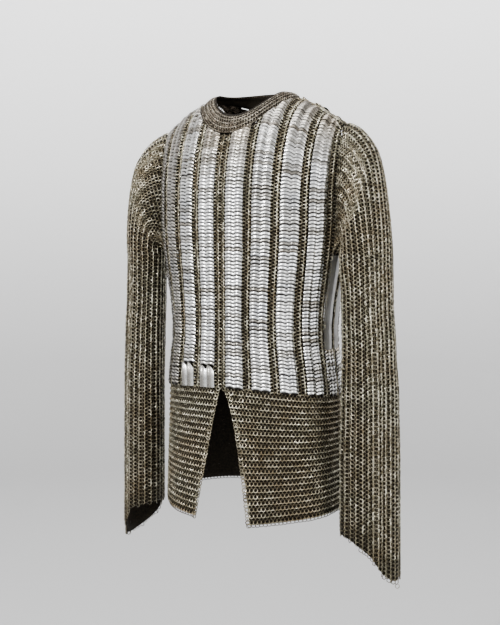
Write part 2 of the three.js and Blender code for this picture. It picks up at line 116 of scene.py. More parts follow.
def torso_point(angle, share):
    """A point by its angle round the waist and its share of the way up to the shoulder ridge."""
    rise = np.clip(share / CHEST_SHARE, 0, 1)
    turned = leaned(angle, smooth(rise, 0, 1))
    half_front, half_back = torso_size("half_front", rise), torso_size("half_back", rise)
    depth = np.where(np.cos(turned) > 0, half_front, half_back)
    x = torso_size("half_width", rise) * np.sin(turned)
    y = -depth * np.cos(turned)
    z = mix(waist_z(angle), CHEST_Z, rise)
    turn = np.clip((share - CHEST_SHARE) / (1 - CHEST_SHARE), 0, 1) * QUARTER
    curve = np.where(np.cos(angle) > 0, FRONT_CURVE, BACK_CURVE)
    wide_x = x * (1 + RIDGE_SPREAD * np.sin(turn))
    closed_y = RIDGE_Y + (y - RIDGE_Y) * np.maximum(np.cos(turn), 0) ** curve
    risen_z = CHEST_Z + (ridge_z(wide_x) - CHEST_Z) * np.sin(turn) ** curve
    below = np.stack(np.broadcast_arrays(x, y, z), axis=-1)
    above = np.stack(np.broadcast_arrays(wide_x, closed_y, risen_z), axis=-1)
    return np.where(np.asarray(share > CHEST_SHARE)[..., None], above, below)


print("front of the chest:", torso_point(np.array(0.0), np.array(CHEST_SHARE)).round(1))

# %% [markdown]
# ## Where the columns stand
# The waist line is measured from the front middle to the back middle. Columns of plates keep an even
# pitch on the front and the back, and the four columns under the arms share what is left.

# %% Places round the waist line
COLUMNS_AROUND, COLUMN_SHARE, COLUMN_PITCH, CENTRE_WIDENING = 20, 0.66, 46.0, 3.5
COLUMNS_TO_ARMHOLE = 4
COLUMNS_UNDER_ARM = (5, 6)
SEAM = 0.4
FINE_SAMPLES = 1441

arc_angles = np.linspace(0, math.pi, FINE_SAMPLES // 2 + 1)
arc_points = torso_point(arc_angles, np.zeros_like(arc_angles))
arc_points[:, 2] = 0
arc_lengths = lengths_along(arc_points)
half_waist = arc_lengths[-1]


def from_middle(columns):
    return 0.0 if columns == 0 else CENTRE_WIDENING + columns * COLUMN_PITCH


def place_angle(place):
    """The angle of a place that is counted in columns from the front middle, for the left side."""
    half = COLUMNS_AROUND / 2
    first_back = half - COLUMNS_TO_ARMHOLE
    count = half - abs(place - half)
    if count > first_back:
        length = half_waist - from_middle(half - count)
    elif count > COLUMNS_TO_ARMHOLE:
        share = (count - COLUMNS_TO_ARMHOLE) / (first_back - COLUMNS_TO_ARMHOLE)
        armhole = from_middle(COLUMNS_TO_ARMHOLE)
        length = mix(armhole, half_waist - armhole, share)
    else:
        length = from_middle(count) if count >= 0 else -from_middle(-count)
    angle = math.copysign(np.interp(abs(length), arc_lengths, arc_angles), length)
    return 2 * math.pi - angle if place > half else angle


print("half of the waist line:", round(half_waist), "mm")

# %% Where a column ends at the top
COLLAR = {"half_width": 88.0, "half_depth": 83.0, "y": -10.0}
YOKE_HALF_WIDTH = 17.0
HALVINGS = 30
SLOPE_STEP = 1e-3
BAND_SAMPLES = 9


def top_share(angle):
    """The share at which a meridian meets the collar or the shoulder band, found by halving."""
    low, high = CHEST_SHARE, 1.0
    for _ in range(HALVINGS):
        middle = (low + high) / 2
        x, y, _z = torso_point(np.array(angle), np.array(middle))
        across = x / (COLLAR["half_width"] + SEAM)
        along = (y - COLLAR["y"]) / (COLLAR["half_depth"] + SEAM)
        reached = across ** 2 + along ** 2 < 1 or abs(y - RIDGE_Y) < YOKE_HALF_WIDTH + SEAM
        low, high = (low, middle) if reached else (middle, high)
    return low


def share_at_height(angle, z):
    return CHEST_SHARE * (z - waist_z(angle)) / (CHEST_Z - waist_z(angle))


class Patch:
    """A stretch of surface with u across (to the wearer's left on the front) and v up.

    A surface that is cut off takes its directions from slope_at, which runs on beyond the cut.
    """

    def __init__(self, point_at, closed=False, slope_at=None):
        self.point_at = point_at
        self.slope_at = slope_at or point_at
        self.closed = closed

    def spots(self, u, v):
        """Points, and the directions along and outward there, at arrays of u and v."""
        left, right = u - SLOPE_STEP, u + SLOPE_STEP
        if not self.closed:
            left, right = np.maximum(left, 0), np.minimum(right, 1)
        low, high = np.maximum(v - SLOPE_STEP, 0), np.minimum(v + SLOPE_STEP, 1)
        across = self.slope_at(right, v) - self.slope_at(left, v)
        along = self.slope_at(u, high) - self.slope_at(u, low)
        out = np.cross(across, along)
        out /= np.linalg.norm(out, axis=-1, keepdims=True)
        along /= np.linalg.norm(along, axis=-1, keepdims=True)
        return self.point_at(u, v), along, out


def mirrored(point_at):
    return lambda u, v: point_at(1 - u, v) * np.array([-1.0, 1.0, 1.0])


def band(first_place, last_place, is_under_arm, top="fitted"):
    """The patch of one upright band of the torso, between two places on the waist line.

    A fitted band ends along the collar. A level band keeps its rows level and is cut off there, and
    an open band runs on below the collar.
    """
    first, last = place_angle(first_place), place_angle(last_place)
    samples = np.linspace(first, last, BAND_SAMPLES)
    if is_under_arm:
        ends = share_at_height(samples, ARMPIT_Z)
    else:
        ends = np.array([top_share(angle) for angle in samples])

    def point_at(u, v):
        angle = mix(first, last, u)
        end = np.interp(angle, samples, ends)
        share = {
            "fitted": v * end,
            "level": np.minimum(v * ends.max(), end),
            "open": v * ends.max(),
        }[top]
        return torso_point(angle, share)

    return point_at


print("top of the front middle:", round(top_share(0.0), 3))

# %% [markdown]
# ## One ring
# Mail is made of one part only: a small wire ring. It is modelled once, as a torus with few sides,
# because the shirt has about thirty thousand of them and each side costs triangles.

# %% Model one ring
WIRE = 1.5
RING_OUTER = 8.8
RING_SIDES, WIRE_SIDES = 6, 3


def take_mesh(obj):
    """Read a modelled piece as arrays of corners and triangles, then delete it."""
    modifier = obj.modifiers.new("Triangles", "TRIANGULATE")
    bpy.ops.object.modifier_apply(modifier=modifier.name)
    mesh = obj.data
    corners = np.empty(len(mesh.vertices) * 3)
    mesh.vertices.foreach_get("co", corners)
    faces = np.empty(len(mesh.polygons) * 3, dtype=np.int64)
    mesh.polygons.foreach_get("vertices", faces)
    bpy.ops.object.delete()
    return corners.reshape(-1, 3), faces.reshape(-1, 3)


bpy.ops.mesh.primitive_torus_add(
    major_segments=RING_SIDES,
    minor_segments=WIRE_SIDES,
    major_radius=(RING_OUTER - WIRE) / 2,
    minor_radius=WIRE / 2,
)
ring_corners, ring_faces = take_mesh(bpy.context.object)
print("one ring:", len(ring_faces), "triangles")

# %% [markdown]
# ## Laying rings on a surface
# In this mail every ring holds four others. Rings stand in lines, each line leans the other way from
# its neighbours, and every second line is shifted by half a ring. The helper takes the centres of the
# rings with the direction of their line, and copies the one ring to each of them. Thirty thousand
# separate objects would be too slow, so each piece of mail becomes one joined mesh. Each corner keeps
# two numbers for the material: its ring's tone, and how proud it stands, from which the iron paints
# shade, partly grime, on the parts that sink under other rings.

# %% Copy the ring to many places
RING_LEAN, LEAN_SPREAD, SIZE_SPREAD = math.radians(24), 0.07, 0.025
RING_DEPTH = 4.4
CUFF_EDGE, EDGE_SHINE = 0.955, 0.25
LINE_SAMPLES, STEP_SLACK = 161, 0.01
BETWEEN_LEAN = 0.2
dice = np.random.default_rng(7)


def add_mesh(name, corners, faces, values=None):
    """A new object from corners in millimetres, with named values that each corner keeps."""
    mesh = bpy.data.meshes.new(name)
    mesh.vertices.add(len(corners))
    mesh.vertices.foreach_set("co", (np.asarray(corners) * MM).ravel())
    count, size = faces.shape
    mesh.loops.add(count * size)
    mesh.loops.foreach_set("vertex_index", faces.ravel())
    mesh.polygons.add(count)
    mesh.polygons.foreach_set("loop_start", np.arange(0, count * size, size))
    mesh.polygons.foreach_set("use_smooth", np.ones(count, dtype=bool))
    mesh.update(calc_edges=True)
    for key, data in (values or {}).items():
        mesh.attributes.new(key, "FLOAT", "POINT").data.foreach_set("value", data)
    obj = bpy.data.objects.new(name, mesh)
    bpy.context.collection.objects.link(obj)
    return obj


def ring_mesh(name, centres, line_way, out, leans, size=1.0, shine=1.0):
    """One mesh of rings. Each leans about the way its line runs, to one side or the other.

    A shine below 1, for all rings or for each, makes them duller.
    """
    count = len(centres)
    side_way = np.cross(out, line_way)
    tilt = leans * RING_LEAN + dice.normal(0, LEAN_SPREAD, count)
    cosine, sine = np.cos(tilt)[:, None], np.sin(tilt)[:, None]
    across = side_way * cosine - out * sine
    facing = out * cosine + side_way * sine
    scale = size * dice.normal(1, SIZE_SPREAD, count)[:, None]
    corners = centres[:, None, :] + scale[:, :, None] * (
        line_way[:, None, :] * ring_corners[None, :, 0, None]
        + across[:, None, :] * ring_corners[None, :, 1, None]
        + facing[:, None, :] * ring_corners[None, :, 2, None]
    )
    faces = ring_faces[None] + (np.arange(count) * len(ring_corners))[:, None, None]
    tone = np.repeat(dice.random(count) * shine, len(ring_corners))
    # How proud each corner stands: the iron turns the low parts of a ring into painted shade, partly
    # grime.
    proud = ((corners - centres[:, None, :]) * out[:, None, :]).sum(axis=-1).ravel()
    values = {"tone": tone, "proud": np.clip(0.5 + proud / RING_DEPTH, 0, 1)}
    return add_mesh(name, corners.reshape(-1, 3), faces.reshape(-1, 3), values)


def even_steps(patch, u, pitch, shift=0.0, margin=0.5):
    """Values of v that lie one pitch apart along the line at u, measured on the surface."""
    v = np.linspace(0, 1, LINE_SAMPLES)
    lengths = lengths_along(patch.point_at(np.full_like(v, u), v))
    places = np.arange(margin + shift, lengths[-1] / pitch - margin + STEP_SLACK) * pitch
    return np.interp(places, lengths, v), lengths[-1]


def rings_up(
    name, point_at, lines, pitch, closed=False, size=1.0, edge=0.5, part=(0, 1), widest=None
):
    """Mail whose lines of rings run up the surface, made between two values of v only.

    Where the lines spread past widest, more go between.
    """
    patch = Patch(point_at, closed)
    us, vs, leans = [], [], []
    for line in np.arange(0, lines, 1 if widest is None else 0.5):
        u = line / lines if closed else (line + edge) / (lines - 1 + 2 * edge)
        steps, _length = even_steps(patch, u, pitch, 0.5 * (line % 2))
        steps = steps[(steps >= part[0]) & (steps < part[1])]
        if line % 1:
            spread = point_at(u + 0.5 / lines, steps) - point_at(u - 0.5 / lines, steps)
            steps = steps[np.linalg.norm(spread, axis=1) > widest]
        us.append(np.full_like(steps, u))
        vs.append(steps)
        leans.append(np.full_like(steps, BETWEEN_LEAN if line % 1 else (1 if line % 2 else -1)))
    u, v = np.concatenate(us), np.concatenate(vs)
    points, along, out = patch.spots(u, v)
    shine = np.where(v > CUFF_EDGE, EDGE_SHINE, 1.0) if closed else 1.0
    return ring_mesh(name, points, along, out, np.concatenate(leans), size, shine)


# %% [markdown]
# ## A shell of painted shade inside the rings
# Through the holes of real mail one sees crossing wires and the dark inside, hardly ever daylight. A
# thin near-black shell a little under the rings paints that shade in: it stands for the far wires and
# the shadow inside the shirt. It ends just before a free edge, so the last rings of the hem and the
# cuffs hang free.

# %% Build a thin shell from a patch
SHELL_DEPTH, SHELL_THICKNESS = 1.3, 0.5


def shell_mesh(name, point_at, steps, rows, closed=False, u_range=(0, 1), v_range=(0, 1)):
    """A thin shell on a patch, between two values of u and of v."""
    patch = Patch(point_at, closed)
    columns = steps if closed else steps + 1
    u = mix(u_range[0], u_range[1], np.arange(columns) / steps)
    v = mix(v_range[0], v_range[1], np.arange(rows + 1) / rows)
    grid_u, grid_v = np.meshgrid(u, v)
    points, _along, out = patch.spots(grid_u.ravel(), grid_v.ravel())
    at = lambda row, column: row * columns + column % columns
    faces = np.array([
        [at(r, c), at(r, c + 1), at(r + 1, c + 1), at(r + 1, c)]
        for r in range(rows) for c in range(steps)
    ])
    obj = add_mesh(name, points - out * SHELL_DEPTH, faces)
    area = sum(face.area for face in obj.data.polygons)
    bpy.context.view_layer.objects.active = obj
    solidify = obj.modifiers.new("Thickness", "SOLIDIFY")
    solidify.thickness = SHELL_THICKNESS * MM
    bpy.ops.object.modifier_apply(modifier=solidify.name)
    return obj, area


mail_pieces, collar_pieces, shells, plate_pieces = [], [], [], []


def join_in(node, rings, shell, slot="mail"):
    """The rings and their shell take the place of a solid."""
    for obj in [*rings, shell]:
        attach(obj, "root")
        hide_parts(node)
    (collar_pieces if slot == "collar_mail" else mail_pieces).extend(rings)
    shells.append(shell)


# %% [markdown]
# ## Mail between the columns
# Twenty upright strips of mail carry the plates. Their lines run up and down, and one ring of a line
# is as tall as one row of plates, because each plate is held by a ring on either side.

# %% Lay the strips
ROW_PITCH = 5.75
STRIP_LINE_PITCH, STRIP_LEAST_LINES = 4.5, 3
TYPICAL_V, WIDTH_VS, CLOSE_EDGE = 0.3, (0, 0.3, 0.6, 1), 0.3


def patch_width(point_at, v):
    u = np.linspace(0, 1, BAND_SAMPLES)
    return float(lengths_along(point_at(u, np.full_like(u, v)))[-1])


def strip(node, point_at):
    width = patch_width(point_at, TYPICAL_V)
    _steps, length = even_steps(Patch(point_at), 0.5, ROW_PITCH)
    lines = max(STRIP_LEAST_LINES, round(width / STRIP_LINE_PITCH))
    rings = rings_up(f"{node}_rings", point_at, lines, ROW_PITCH, edge=CLOSE_EDGE)
    shell, area = shell_mesh(f"{node}_shell", point_at, steps=4, rows=24)
    widest = max(patch_width(point_at, v) for v in WIDTH_VS)
    join_in(node, [rings], shell)
    return len(rings.data.polygons)


half_strip = (1 - COLUMN_SHARE) / 2
triangles = 0
for number in range(COLUMNS_AROUND // 2 + 1):
    left = band(number - half_strip, number + half_strip, number == COLUMNS_AROUND // 4)
    if number in (0, COLUMNS_AROUND // 2):
        triangles += strip("strip_centre_front" if number == 0 else "strip_centre_back", left)
    else:
        triangles += strip(f"strip_left_{number}", left)
        triangles += strip(f"strip_right_{number}", mirrored(left))
print("strips:", triangles, "triangles")

# %% [markdown]
# ## The sleeves
# A sleeve leaves the armhole, turns down in an elbow and hangs as a twisted tube with long folds. Its
# lines of rings run down the arm, which is how mail hangs without opening. The cuff is cut to a
# point on the outer side.

# %% The sleeve as a formula
CAP_WIDTH, CAP_HALF_DEPTH, CAP_ROUNDNESS = 78.0, 48.0, 0.85
SLEEVE_INNER_X, CAP_SHARE, SLEEVE_Y, ARMPIT_LIFT = 180.0, 0.38, -15.0, 3.0
CAP_OPENING, CAP_HANGING, ARMHOLE_CORNER = math.radians(50), math.radians(40), 0.375
CUFF_INNER_Z, CUFF_TIP_DROP, CUFF_TIP_ANGLE, CUFF_POINT = -720.0, 77.0, math.radians(15), 1.6
SLEEVE_TWIST = math.radians(54)
SLEEVE_ROWS = {
    "z": [-268.0, -340.0, -420.0, -500.0, -600.0, -810.0],
    "x": [219.0, 221.0, 224.0, 226.0, 226.0, 226.0],
    "broad": [45.0, 43.0, 45.0, 49.0, 51.5, 52.0],
    "narrow": [35.0, 36.0, 36.5, 36.5, 36.5, 36.5],
}
FOLD_ANGLES = [28.0, 70.0, 112.0, 236.0, 300.0]
FOLD_WIDTHS = [16.0, 13.0, 15.0, 16.0, 18.0]
FOLD_DEPTHS = [3.5, 4.5, 4.0, 4.0, 3.0]

armhole_place = COLUMNS_TO_ARMHOLE + half_strip
armhole_front = place_angle(armhole_place)
armhole_back = place_angle(COLUMNS_AROUND / 2 - armhole_place)


def armhole_point(turn):
    """Down the front edge, across under the arm, and up the back edge."""
    low = ARMPIT_Z + ARMPIT_LIFT
    across = np.clip((turn - ARMHOLE_CORNER) / (1 - 2 * ARMHOLE_CORNER), 0, 1)
    angle = mix(armhole_front, armhole_back, across)
    edge = np.minimum(np.minimum(turn, 1 - turn) / ARMHOLE_CORNER, 1)
    return torso_point(angle, mix(1.0, share_at_height(angle, low), edge))


def cap_point(turn, bend):
    """One ring of the sleeve's head, turned about the armpit from upright to level."""
    height = float(armhole_point(np.array(0.0))[2]) - ARMPIT_Z
    rise = np.maximum(np.cos(bend), 0) ** CAP_ROUNDNESS
    reach = np.sin(bend) ** CAP_ROUNDNESS
    near = (1 + np.cos(2 * math.pi * turn)) / 2
    x = SLEEVE_INNER_X + CAP_WIDTH * reach * near
    y = mix(RIDGE_Y, SLEEVE_Y, reach) - CAP_HALF_DEPTH * np.sin(2 * math.pi * turn)
    z = ARMPIT_Z + mix(ARMPIT_LIFT * rise, height * rise, near)
    return np.stack([x, y, z], axis=-1)


def sleeve_size(key, z):
    rows = SLEEVE_ROWS["z"]
    value = np.full_like(z, SLEEVE_ROWS[key][0])
    for upper, lower, start, end in zip(rows, rows[1:], SLEEVE_ROWS[key], SLEEVE_ROWS[key][1:]):
        value = np.where(z < upper, mix(start, end, smooth(upper - z, 0, upper - lower)), value)
    return value


def fold_depth(turn, z):
    grown = smooth(-z, -SLEEVE_ROWS["z"][0], -SLEEVE_ROWS["z"][1])
    degrees = 360 * (turn % 1)
    return grown * sum(
        depth * np.exp(-(((degrees - angle) / width) ** 2))
        for angle, width, depth in zip(FOLD_ANGLES, FOLD_WIDTHS, FOLD_DEPTHS)
    )


def tube_point(turn, z):
    angle = -2 * math.pi * turn
    wide = np.cos(angle - SLEEVE_TWIST) / sleeve_size("broad", z)
    deep = np.sin(angle - SLEEVE_TWIST) / sleeve_size("narrow", z)
    radius = 1 / np.hypot(wide, deep) - fold_depth(turn, z)
    x = sleeve_size("x", z) + radius * np.cos(angle)
    return np.stack([x, SLEEVE_Y + radius * np.sin(angle), z], axis=-1)


def sleeve_point(turn, share):
    """A point of the left sleeve, from the armhole at 0 to the cuff at 1."""
    turn, share = np.broadcast_arrays(np.asarray(turn, float), np.asarray(share, float))
    wrapped = turn % 1
    bend = np.clip(share / CAP_SHARE, 0, 1) * QUARTER
    opened = np.sin(np.clip(bend / CAP_OPENING, 0, 1) * QUARTER)[..., None]
    hung = smooth(bend, CAP_HANGING, QUARTER)[..., None]
    head = mix(armhole_point(wrapped), cap_point(wrapped, bend), opened)
    head = mix(head, tube_point(wrapped, np.full_like(wrapped, ARMPIT_Z)), hung)
    near = (1 + np.cos(2 * math.pi * wrapped + CUFF_TIP_ANGLE)) / 2
    cuff_z = CUFF_INNER_Z - CUFF_TIP_DROP * near ** CUFF_POINT
    drop = np.clip((share - CAP_SHARE) / (1 - CAP_SHARE), 0, 1)
    tube = tube_point(wrapped, mix(ARMPIT_Z, cuff_z, drop))
    return np.where((share < CAP_SHARE)[..., None], head, tube)


print("outer end of the cuff:", sleeve_point(0.0, 1.0).round(1))

# %% Lay the sleeves
SLEEVE_MAIL = {"lines": 58, "pitch": 6.5, "closed": True, "widest": 7.4}
ARM_PARTS = {"upper": (0, 0.6), "cuff": (0.6, 2)}
SLEEVE_SHELL_ENDS = (0.01, 0.993)
TIP_TURN = -CUFF_TIP_ANGLE / (2 * math.pi)
TIP_RING_DROP, TIP_RING_SIZE = 0.35 * RING_OUTER, 0.95


def hanging_ring(name, tip):
    """One loose ring that hangs from the cuff's tip, as the last ring of a torn edge does."""
    centre = np.array([tip - [0.0, 0.0, TIP_RING_DROP]])
    down, out = np.array([[0.0, 0.0, -1.0]]), np.array([[0.5, -0.86, 0.0]])
    return ring_mesh(name, centre, down, out, np.zeros(1), size=TIP_RING_SIZE)


for side, point_at in (("left", sleeve_point), ("right", mirrored(sleeve_point))):
    node = f"sleeve_{side}"
    rings = [
        rings_up(f"{node}_rings_{word}", point_at, part=part, **SLEEVE_MAIL)
        for word, part in ARM_PARTS.items()
    ]
    shell, area = shell_mesh(
        f"{node}_shell", point_at, steps=64, rows=48, closed=True, v_range=SLEEVE_SHELL_ENDS
    )
    if side == "left":
        rings.append(hanging_ring("cuff_tip_ring", sleeve_point(TIP_TURN, 1.0)))
    join_in(node, rings, shell)
    print(node, [len(r.data.polygons) for r in rings], "area", round(area, 4))

# %% [markdown]
# ## The skirt
# Below the plates hangs plain mail, open at the front in a slit. Its lines of rings run round the body.
# All three panels take their rings from one lattice round the whole skirt, and each panel keeps the
# rings that fall between its own edges, as a maker would close the mail round the wearer.

# %% The skirt as a formula
HEM = (167.0, 119.0, 123.0)
WAIST = tuple(TORSO[key][0] for key in ("half_width", "half_front", "half_back"))
SLIT_TOP, SLIT_HEM = math.radians(0.5), math.radians(18)
SLIT_CURVES = {"left": 0.5, "right": 0.95}
SKIRT_WAVES, SKIRT_WAVE_DEPTH = 7, 3.0


def skirt_point(angle, share):
    """A point of the skirt, from the hem at 0 to the waist at 1."""
    half_width = mix(HEM[0], WAIST[0], share)
    front, back = mix(HEM[1], WAIST[1], share), mix(HEM[2], WAIST[2], share)
    wave = SKIRT_WAVE_DEPTH * (1 - share) * np.sin(SKIRT_WAVES * angle)
    x = (half_width + wave) * np.sin(angle)
    y = -(np.where(np.cos(angle) > 0, front, back) + wave) * np.cos(angle)
    hem_z = HEM_SIDE_Z - HEM_CORNER_DROP * np.maximum(np.cos(angle), 0) ** 2
    return np.stack([x, y, mix(hem_z, waist_z(angle) - SEAM, share)], axis=-1)


def slit_angle(side, share):
    return mix(SLIT_TOP, SLIT_HEM, (1 - share) ** SLIT_CURVES[side])


print("hem at the side:", skirt_point(QUARTER, 0.0).round(1))

# %% Lay the skirt
SKIRT_LINES, SKIRT_AROUND, LINE_MARGIN = 43, 142, 0.4
SLIT_INSET, SLIT_LEAN, ROW_SHIFTS = 2.0 / 115, 0.4, (0.25, 0.75)
HEM_EDGE, SKIRT_SHINE = 0.06, 0.85
SKIRT_SHELL_ENDS = (0.012, 1)
PANELS = {
    "skirt_front_left": (lambda s: slit_angle("left", s), lambda s: QUARTER + 0 * s, (0.02, 1)),
    "skirt_front_right": (lambda s: -QUARTER + 0 * s, lambda s: -slit_angle("right", s), (0, 0.98)),
    "skirt_back": (lambda s: QUARTER + 0 * s, lambda s: 3 * QUARTER + 0 * s, (0, 1)),
}


def even_angles(count, share):
    """Angles round the skirt at equal steps along its length, from -90 to 270 degrees."""
    fine = np.linspace(-QUARTER, 3 * QUARTER, FINE_SAMPLES)
    lengths = lengths_along(skirt_point(fine, np.full_like(fine, share)))
    return lambda shift: np.interp((np.arange(count) + shift) / count * lengths[-1], lengths, fine)


def panel_places(from_angle, to_angle, is_front):
    """Angle, share and lean of each ring of a panel, with one ring more a line along the slit."""
    angles, shares, leans = [], [], []
    for line in range(SKIRT_LINES):
        share = (line + LINE_MARGIN) / (SKIRT_LINES - LINE_MARGIN)
        first, last = from_angle(share), to_angle(share)
        row = spread(ROW_SHIFTS[line % 2])
        row = row[(row > first + SLIT_INSET / 2) & (row < last - SLIT_INSET / 2)]
        beside = ((first, first + SLIT_INSET), (last, last - SLIT_INSET))
        slit = [angle for edge, angle in beside if is_front and abs(edge) < 1]
        angles += [row, slit]
        shares.append(np.full(len(row) + len(slit), share))
        leans += [np.full_like(row, 1 if line % 2 else -1), np.full(len(slit), SLIT_LEAN)]
    return np.concatenate(angles), np.concatenate(shares), np.concatenate(leans)


def skirt_directions(angle, share):
    """The way a line of rings runs, and the way outward."""
    across = skirt_point(angle + SLOPE_STEP, share) - skirt_point(angle - SLOPE_STEP, share)
    along = skirt_point(angle, share + SLOPE_STEP) - skirt_point(angle, share - SLOPE_STEP)
    out = np.cross(across, along)
    out /= np.linalg.norm(out, axis=1, keepdims=True)
    return across / np.linalg.norm(across, axis=1, keepdims=True), out


spread = even_angles(SKIRT_AROUND, 0.5)
for node, (from_angle, to_angle, shell_sides) in PANELS.items():
    is_front = node != "skirt_back"
    angle, share, leans = panel_places(from_angle, to_angle, is_front)
    across, out = skirt_directions(angle, share)
    centres = skirt_point(angle, share)
    shine = np.where(share < HEM_EDGE, EDGE_SHINE, SKIRT_SHINE)
    rings = ring_mesh(f"{node}_rings", centres, across, out, leans, shine=shine)

    def panel(u, v, first=from_angle, last=to_angle):
        return skirt_point(mix(first(v), last(v), u), v)

    shell, area = shell_mesh(
        f"{node}_shell", panel, steps=40, rows=24, u_range=shell_sides, v_range=SKIRT_SHELL_ENDS
    )
    join_in(node, [rings], shell)
    print(node, len(rings.data.polygons), "triangles, area", round(area, 4))

# %% [markdown]
# ## Shoulders and collar
# Open mail covers the ridge of each shoulder. The collar is denser: smaller rings in close lines that
# run round the neck. Its shell of painted shade ends in a dark lip that stands a little past the last
# line of rings, a painted shadow along the collar's edge.

# %% Shoulder bands
YOKE_LINES, YOKE_PITCH, YOKE_END_SEAM = 8, 6.3, 1.2
SHOULDER_PASSES = 5


def shoulder_z(x, y):
    """Height of the shoulders over a point seen from above, found in a few passes."""
    half_depth = np.where(y < RIDGE_Y, -TORSO["half_front"][2], TORSO["half_back"][2])
    curve = np.where(y < RIDGE_Y, FRONT_CURVE, BACK_CURVE)
    rise = np.ones_like(x)
    for _ in range(SHOULDER_PASSES):
        sine = x / (TORSO["half_width"][2] * (1 + RIDGE_SPREAD * rise ** (1 / curve)))
        chest_y = half_depth * np.sqrt(np.maximum(1 - sine * sine, 0))
        depth = np.clip((y - RIDGE_Y) / (chest_y - RIDGE_Y), 0, 1)
        rise = (1 - depth ** (2 / curve)) ** (curve / 2)
    return CHEST_Z + (ridge_z(x) - CHEST_Z) * rise


def yoke_point(u, v):
    y = mix(RIDGE_Y - YOKE_HALF_WIDTH, RIDGE_Y + YOKE_HALF_WIDTH, v)
    beside = (y - COLLAR["y"]) / (COLLAR["half_depth"] + SEAM)
    first = (COLLAR["half_width"] + SEAM) * np.sqrt(1 - beside * beside)
    edge = torso_point(np.array(armhole_front), np.array(CHEST_SHARE))
    x = mix(first, edge[0] * (1 + RIDGE_SPREAD) - YOKE_END_SEAM, u)
    return np.stack([x, y, shoulder_z(x, y)], axis=-1)


for side, point_at in (("left", yoke_point), ("right", mirrored(yoke_point))):
    turned = lambda u, v, flat=point_at: flat(1 - v, u)
    rings = rings_up(f"yoke_{side}_rings", turned, YOKE_LINES, YOKE_PITCH, edge=CLOSE_EDGE)
    shell, area = shell_mesh(f"yoke_{side}_shell", turned, steps=8, rows=16)
    join_in(f"yoke_{side}", [rings], shell)
    print(f"yoke_{side}", len(rings.data.polygons), "triangles")

# %% Collar
COLLAR_INNER = {"half_width": 67.0, "half_depth": 65.0, "y": -6.0}
COLLAR_FRONT_Z, COLLAR_SIDE_Z, COLLAR_BACK_Z = -34.0, 10.0, 14.0
COLLAR_BULGE, COLLAR_INSET = 3.0, 1.0


def collar_point(angle, share):
    outer_x = (COLLAR["half_width"] - COLLAR_INSET) * np.sin(angle)
    outer_y = COLLAR["y"] - (COLLAR["half_depth"] - COLLAR_INSET) * np.cos(angle)
    outer_z = shoulder_z(outer_x, outer_y)
    end_z = np.where(np.cos(angle) > 0, COLLAR_FRONT_Z, COLLAR_BACK_Z)
    inner_x = COLLAR_INNER["half_width"] * np.sin(angle)
    inner_y = COLLAR_INNER["y"] - COLLAR_INNER["half_depth"] * np.cos(angle)
    inner_z = mix(COLLAR_SIDE_Z, end_z, np.cos(angle) ** 2)
    z = mix(outer_z, inner_z, share) + COLLAR_BULGE * np.sin(math.pi * share)
    return np.stack([mix(outer_x, inner_x, share), mix(outer_y, inner_y, share), z], axis=-1)


COLLAR_MAIL = {"lines": 9, "pitch": 5.2, "edge": 0.35, "size": 0.74}
# The collar's shell runs on past its rings into a dark lip of painted shadow.
COLLAR_SHADE_LIP = 1.15
COLLARS = {"collar_front": (-QUARTER, (0.041, 0.306)), "collar_back": (QUARTER, (0.035, 0.278))}
for node, (first, flat) in COLLARS.items():
    round_neck = lambda u, v, start=first: collar_point(start + math.pi * (1 - v), u)
    rings = rings_up(f"{node}_rings", round_neck, **COLLAR_MAIL)
    shell, area = shell_mesh(f"{node}_shell", round_neck, 7, 40, u_range=(0, COLLAR_SHADE_LIP))
    join_in(node, [rings], shell, slot="collar_mail")
    print(node, len(rings.data.polygons), "triangles")

# %% [markdown]
# ## One plate
# A plate is a thin sheet of steel with two round lobes along its upper edge and a groove between
# them. It is modelled once, flat: across from 0 to 1, upwards and proud of the shirt in millimetres.
# Each copy is then bent on its place in a column.

# %% Model one plate
PLATE_HEIGHT, LOBE_RISE, PLATE_TILT, RIM, TOUCH = 8.6, 2.4, 2.0, 1.3, 0.01
LOBE_ROUNDNESS, GROOVE_ROUNDNESS = 0.6, 0.8


def lobe_at(x, roundness):
    """The two lobes over a plate's width: 1 on a lobe, 0 at the edges and in the groove."""
    return np.abs(np.sin(2 * math.pi * x)) ** roundness


bpy.ops.mesh.primitive_grid_add(x_subdivisions=8, y_subdivisions=2, size=1, location=(0.5, 0.5, 0))
plate = bpy.context.object
bpy.ops.object.transform_apply(location=True)
for vertex in plate.data.vertices:
    x, y, _z = vertex.co
    lobe = lobe_at(x, LOBE_ROUNDNESS)
    vertex.co.y = y * (PLATE_HEIGHT - LOBE_RISE + LOBE_RISE * lobe * y)
    vertex.co.z = PLATE_TILT * vertex.co.y / PLATE_HEIGHT
plate.data.update()
bpy.ops.object.mode_set(mode="EDIT")
bpy.ops.mesh.select_mode(type="EDGE")
bpy.ops.mesh.select_all(action="DESELECT")
bpy.ops.object.mode_set(mode="OBJECT")
rim_from = PLATE_HEIGHT - LOBE_RISE - TOUCH
for edge in plate.data.edges:
    edge.select = all(plate.data.vertices[v].co.y > rim_from for v in edge.vertices)
bpy.ops.object.mode_set(mode="EDIT")
bpy.ops.mesh.extrude_region_move(TRANSFORM_OT_translate={"value": (0, 0, -RIM)})
bpy.ops.object.mode_set(mode="OBJECT")
plate_corners, plate_faces = take_mesh(plate)
print("one plate:", len(plate_faces), "triangles")

# %% Lay the columns of plates
LOBE_HEIGHT, PLATE_LIFT, CREASE, LOWEST_CUT = 1.5, 1.4, 2.6, 1.0
PLATE_SLIDE, PLATE_TWIST, PLATE_LEAN = 0.25, 0.25, 0.45
TOP_MARGIN = 3.0
DEEP_FROM, DEEP_TO = 0.12, 0.5
FOOT_LOBE_SHADE_TONE, FOOT_CREASE_HIGHLIGHT, FOOT_CLEAR = 0.05, 0.75, 9.0
upper_edge = PLATE_HEIGHT - LOBE_RISE * (1 - lobe_at(plate_corners[:, 0], LOBE_ROUNDNESS))


